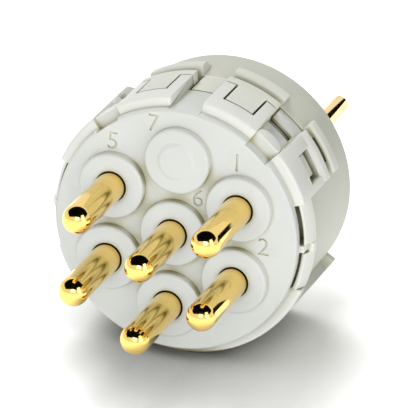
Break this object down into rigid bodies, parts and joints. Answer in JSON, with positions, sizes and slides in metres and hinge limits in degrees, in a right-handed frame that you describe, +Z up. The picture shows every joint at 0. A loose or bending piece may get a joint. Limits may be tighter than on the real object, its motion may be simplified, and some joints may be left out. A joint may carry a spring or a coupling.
{
  "type": "connector contact insert",
  "caption": "Round two-part moulded insert with snap latches and a keyway, holding straight pin contacts with solder tails around a centre pin and one closed position.",
  "frame": {"origin": "middle of the underside flat, below the centre of the insert's overall length", "axes": "-Y along the contacts towards the mating pins, +Z up to the keyway and position 7, +X to the right as seen from the pin side"},
  "size_m": [0.0182, 0.0284, 0.0181],
  "materials": {
    "front_insulator": "satin moulded",
    "rear_insulator": "satin moulded",
    "gold_contact": "polished gold plating"
  },
  "bodies": {
    "root": {"front_insulator": "front_insulator", "rear_insulator": "rear_insulator", "contact_1": "gold_contact", "contact_2": "gold_contact", "contact_3": "gold_contact", "contact_4": "gold_contact", "contact_5": "gold_contact", "contact_6": "gold_contact"}
  },
  "joints": []
}
